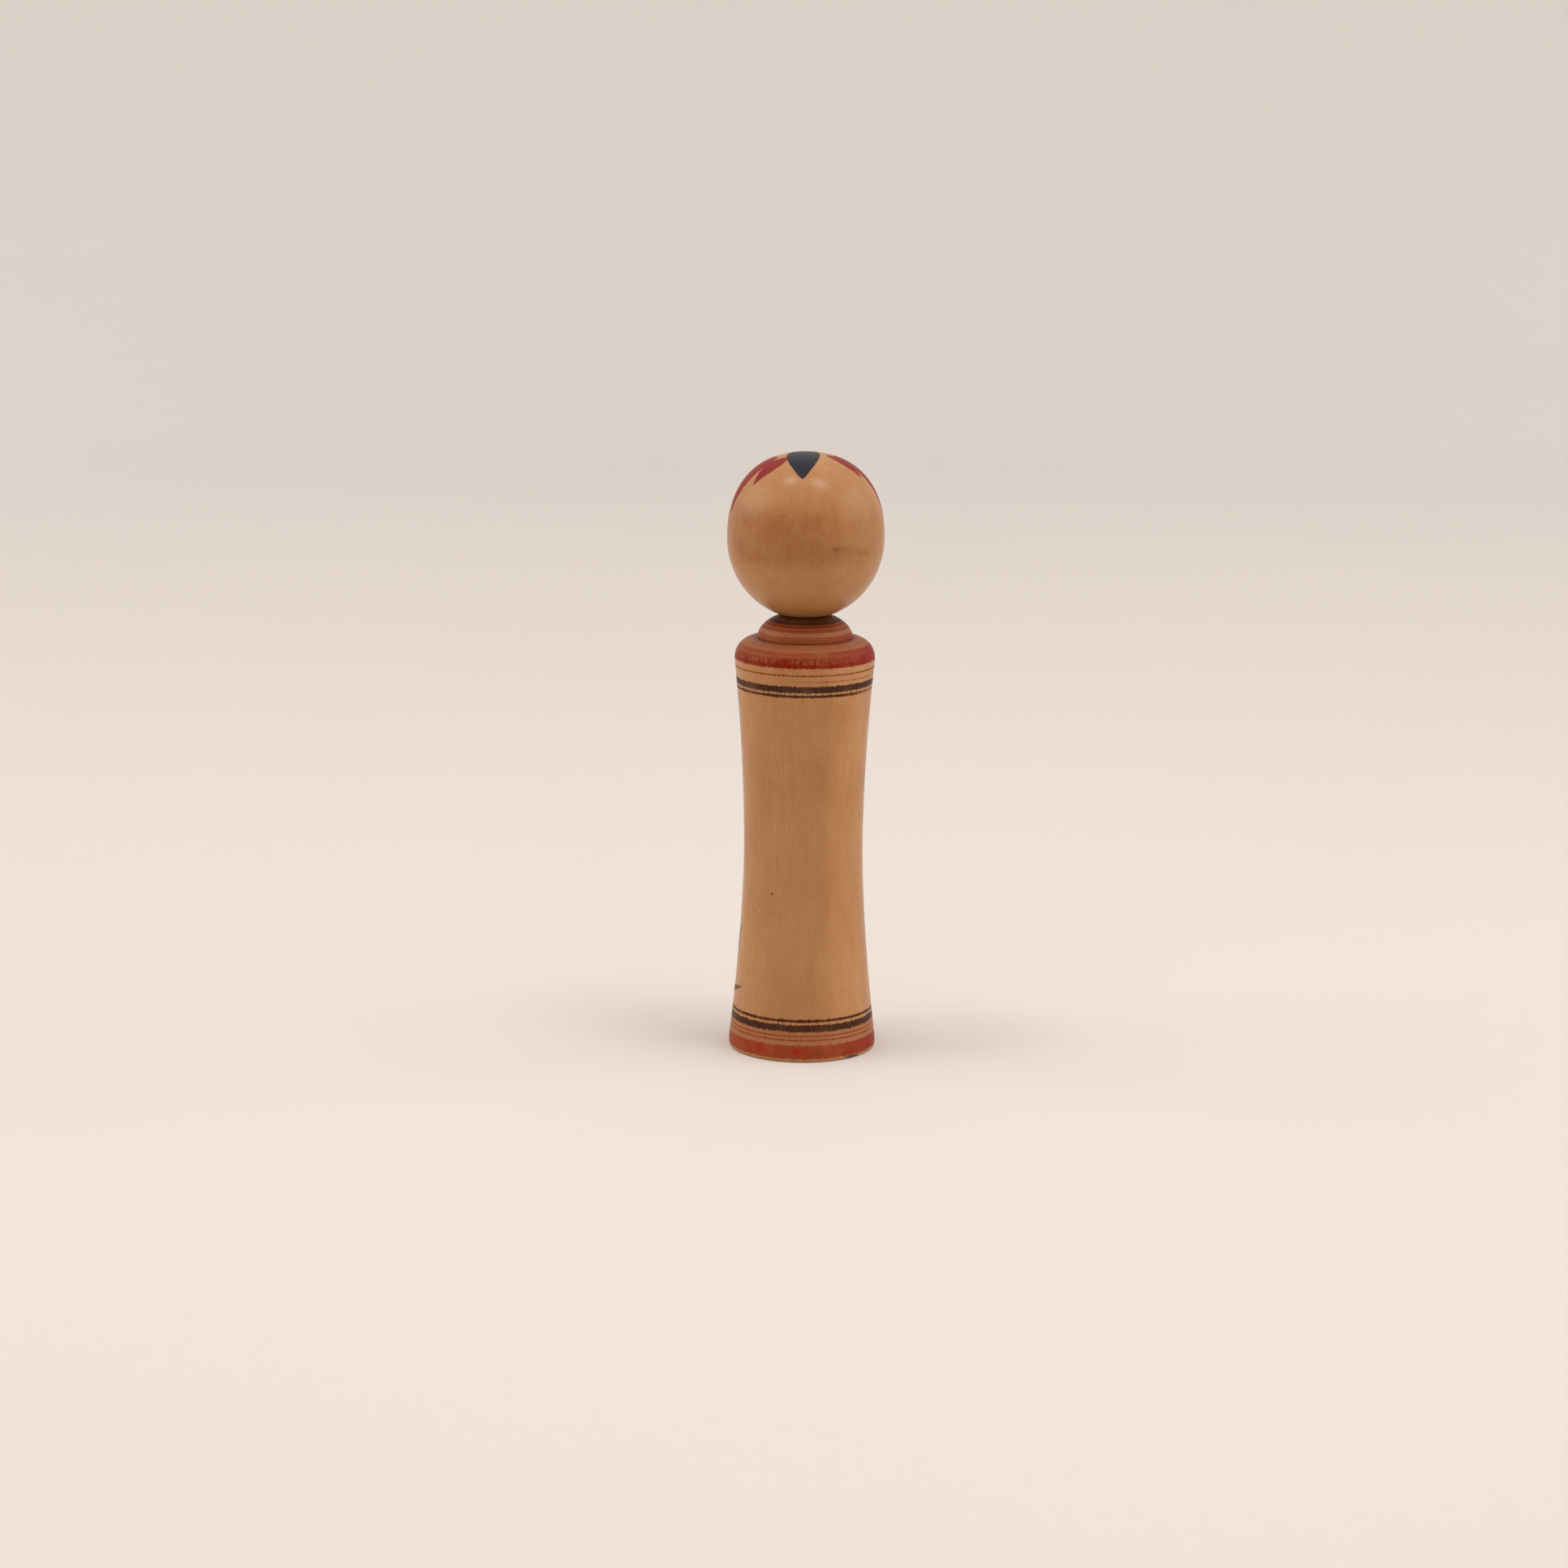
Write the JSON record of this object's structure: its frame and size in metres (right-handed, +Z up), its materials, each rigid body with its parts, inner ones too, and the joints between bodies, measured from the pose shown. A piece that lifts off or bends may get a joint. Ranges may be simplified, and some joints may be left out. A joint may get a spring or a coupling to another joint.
{
  "type": "kokeshi doll",
  "caption": "Lathe-turned wooden kokeshi doll: a waisted solid body with a shoulder and domed yoke, and a ball head that turns on a captive neck tenon.",
  "frame": {"origin": "centre of the flat underside, where the doll stands", "axes": "+Z up along the turning axis, -Y the way the painted face and flowers look, +X to the doll's left"},
  "size_m": [0.0464, 0.0464, 0.1799],
  "materials": {
    "body_wood": "old waxed mizuki dogwood, turned smooth, with brushed and lathe-laid red, black and brown colours",
    "head_wood": "old waxed mizuki dogwood, turned smooth, with painted face, black tuft and red ornaments"
  },
  "bodies": {
    "body": {"body": "body_wood"},
    "head": {"head": "head_wood"}
  },
  "joints": [
    {"name": "head_turn", "type": "hinge", "parent": "body", "child": "head", "pos_m": [0, 0, 0.1318], "axis": [0, 0, 1], "continuous": true}
  ]
}
